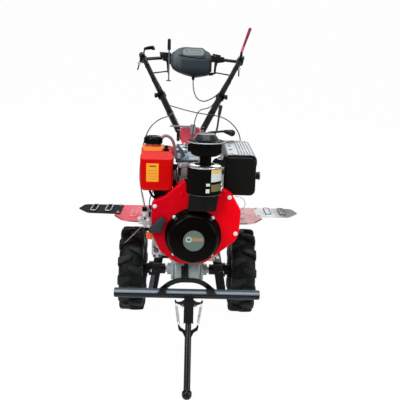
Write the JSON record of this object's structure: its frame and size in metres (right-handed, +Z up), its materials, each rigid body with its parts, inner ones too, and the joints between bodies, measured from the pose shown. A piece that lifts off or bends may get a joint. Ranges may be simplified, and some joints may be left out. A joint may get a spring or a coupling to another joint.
{
  "type": "power weeder",
  "caption": "Two-wheeled walking power weeder: single-cylinder engine ahead of the axle, lugged tyres, fenders, front bumper with sprung prop stand, and swivelling handlebar with control panel",
  "frame": {"origin": "on the floor at the middle of the whole machine's length and width, as it stands parked on its wheels and front stand", "axes": "+X to the machine's own left, along the axle; +Y to the rear, towards the operator's grips; +Z up"},
  "size_m": [1.0066, 1.8328, 1.1817],
  "materials": {
    "tyre_rubber": "matte",
    "black_paint": "satin",
    "navy_black_paint": "satin",
    "red_paint": "gloss",
    "black_gloss_paint": "gloss",
    "cast_alloy": "cast",
    "cast_iron": "cast",
    "steel": "machined",
    "bright_shield": "polished",
    "black_plastic": "matte",
    "slate_plastic": "satin",
    "slate_paint": "satin",
    "orange_plastic": "gloss",
    "red_plastic": "gloss",
    "rubber": "matte",
    "cable_sheath": "satin"
  },
  "bodies": {
    "chassis": {"air_cleaner": "black_plastic", "air_cleaner_bowl": "black_plastic", "air_cleaner_bracket": "black_paint", "bed_strut": "black_paint", "bumper_arch": "navy_black_paint", "bumper_tube": "navy_black_paint", "clutch_cable": "cable_sheath", "clutch_housing": "cast_alloy", "cylinder": "cast_alloy", "cylinder_head": "cast_alloy", "engine_block": "cast_alloy", "fan_shroud": "red_paint", "fender_extension_left": "black_paint", "fender_extension_right": "slate_paint", "fender_left": "red_paint", "fender_right": "red_paint", "frame_rails": "black_paint", "fuel_cap": "black_plastic", "fuel_tank": "red_paint", "gear_lever": "black_paint", "gearbox_housing": "cast_alloy", "governor_unit": "steel", "handlebar_seat": "red_paint", "muffler": "black_gloss_paint", "muffler_heat_shield": "bright_shield", "rear_hitch": "cast_iron", "recoil_cover": "black_gloss_paint", "reverse_lever": "black_paint", "rocker_cover": "cast_alloy", "speed_knob": "orange_plastic", "stand_bracket": "navy_black_paint", "stand_springs": "steel", "starter_grip": "slate_plastic", "steering_cable": "cable_sheath", "tank_bracket": "black_paint", "throttle_cable": "cable_sheath"},
    "handlebar": {"swivel_head": "red_paint", "swivel_lock": "slate_paint", "handlebar_lower_tubes": "black_paint", "handlebar_upper_tubes": "black_paint", "hand_grips": "rubber", "tube_clamps": "black_plastic", "cross_tubes": "black_paint", "control_panel": "slate_plastic", "panel_brackets": "black_paint", "clutch_lever_bracket": "black_paint", "clutch_lever": "red_plastic", "hand_levers": "steel", "throttle_lever": "black_plastic", "shift_lever": "steel", "panel_cable": "cable_sheath"},
    "stand": {"stand_leg": "black_paint"},
    "left_wheel": {"tyre_left": "tyre_rubber", "rim_left": "black_paint", "wheel_hub_left": "black_paint", "axle_stub_left": "steel"},
    "right_wheel": {"tyre_right": "tyre_rubber", "rim_right": "black_paint", "wheel_hub_right": "black_paint", "axle_stub_right": "steel"}
  },
  "joints": [
    {"name": "left_wheel_spin", "type": "hinge", "parent": "chassis", "child": "left_wheel", "pos_m": [0, -0.25403, 0.194], "axis": [1, 0, 0], "continuous": true},
    {"name": "right_wheel_spin", "type": "hinge", "parent": "chassis", "child": "right_wheel", "pos_m": [0, -0.25403, 0.194], "axis": [1, 0, 0], "continuous": true},
    {"name": "stand_fold", "type": "hinge", "parent": "chassis", "child": "stand", "pos_m": [0.008, -0.67685, 0.27268], "axis": [1, 0, 0], "range_deg": [0, 110], "deforming": ["stand_springs"]},
    {"name": "handlebar_swivel", "type": "hinge", "parent": "chassis", "child": "handlebar", "pos_m": [0, 0.03707, 0.69289], "axis": [0, 0.1646, 0.9864], "range_deg": [-30, 30], "deforming": ["throttle_cable", "clutch_cable", "steering_cable"]}
  ]
}
